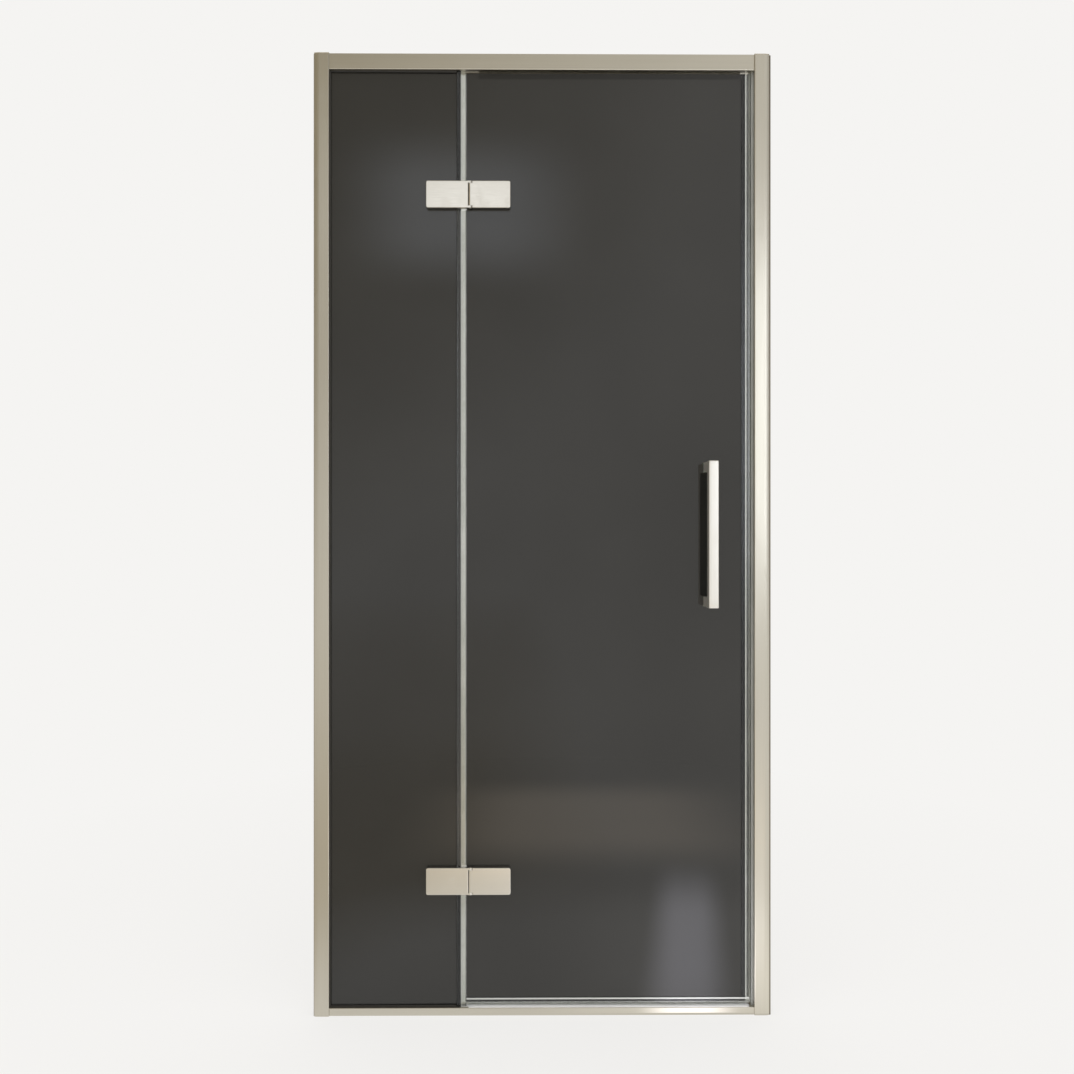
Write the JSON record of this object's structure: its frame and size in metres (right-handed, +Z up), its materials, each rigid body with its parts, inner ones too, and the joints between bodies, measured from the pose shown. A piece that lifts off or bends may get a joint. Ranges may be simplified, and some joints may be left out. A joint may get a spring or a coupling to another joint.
{
  "type": "hinged shower door with fixed panel",
  "caption": "Framed shower front of smoked glass: narrow fixed panel, outward-opening leaf on glass-to-glass hinges, bar handles, wall channels.",
  "frame": {"origin": "middle of the underside of the bottom rail, in the middle plane of the glass", "axes": "+X to the right seen from outside, towards the closing edge; +Y into the shower; +Z up"},
  "size_m": [0.95, 0.128, 2],
  "materials": {
    "brushed_nickel": "brushed nickel coloured anodising, fine grain along each profile",
    "clear_seal": "clear flexible vinyl",
    "dark_gasket": "dark glazing gasket",
    "grey_plastic": "moulded plastic cap coloured to match the frame",
    "handle_nickel": "brushed nickel plating on a square grip",
    "hinge_nickel": "brushed nickel plating on solid hinge plates",
    "magnet_strip": "grey magnetic rubber strip",
    "polished_bar": "bright anodised flat bar",
    "smoked_glass": "smoked toughened glass, polished edges",
    "steel_screw": "stainless steel screw",
    "white_nylon": "natural nylon"
  },
  "bodies": {
    "frame": {"bottom_rail": "brushed_nickel", "corner_screws": "steel_screw", "edge_packers": "white_nylon", "fixed_glass": "smoked_glass", "glazing_gasket_back": "dark_gasket", "glazing_gasket_front": "dark_gasket", "jamb_magnet": "magnet_strip", "jamb_profile": "clear_seal", "lower_hinge_pin": "steel_screw", "lower_panel_clamp_gaskets": "dark_gasket", "lower_panel_clamp_plate": "hinge_nickel", "lower_panel_hinge_plate": "hinge_nickel", "panel_clamp_screws": "steel_screw", "panel_clamp_sleeves": "white_nylon", "panel_seal_lower": "clear_seal", "panel_seal_middle": "clear_seal", "panel_seal_upper": "clear_seal", "setting_blocks": "white_nylon", "stile_cap_left": "grey_plastic", "stile_cap_right": "grey_plastic", "stile_left": "brushed_nickel", "stile_right": "brushed_nickel", "stile_screw_caps": "grey_plastic", "stile_screws": "steel_screw", "top_rail": "brushed_nickel", "top_stop_profile": "brushed_nickel", "top_stop_seal": "clear_seal", "upper_hinge_pin": "steel_screw", "upper_panel_clamp_gaskets": "dark_gasket", "upper_panel_clamp_plate": "hinge_nickel", "upper_panel_hinge_plate": "hinge_nickel", "wall_channel_left": "brushed_nickel", "wall_channel_right": "brushed_nickel", "water_bar": "polished_bar", "water_bar_caps": "polished_bar"},
    "door": {"bottom_seal": "clear_seal", "closing_magnet": "magnet_strip", "closing_seal": "clear_seal", "door_clamp_screws": "steel_screw", "door_clamp_sleeves": "white_nylon", "door_glass": "smoked_glass", "handle_grub_screws": "steel_screw", "handle_sleeves": "white_nylon", "handle_studs": "steel_screw", "handle_washers": "white_nylon", "inner_handle": "handle_nickel", "lower_door_clamp_gaskets": "dark_gasket", "lower_door_clamp_plate": "hinge_nickel", "lower_door_hinge_plate": "hinge_nickel", "lower_hinge_bushes": "white_nylon", "outer_handle": "handle_nickel", "upper_door_clamp_gaskets": "dark_gasket", "upper_door_clamp_plate": "hinge_nickel", "upper_door_hinge_plate": "hinge_nickel", "upper_hinge_bushes": "white_nylon"}
  },
  "joints": [
    {"name": "door_swing", "type": "hinge", "parent": "frame", "child": "door", "pos_m": [-0.15, -0.011, 1], "axis": [0, 0, -1], "range_deg": [0, 90]}
  ]
}
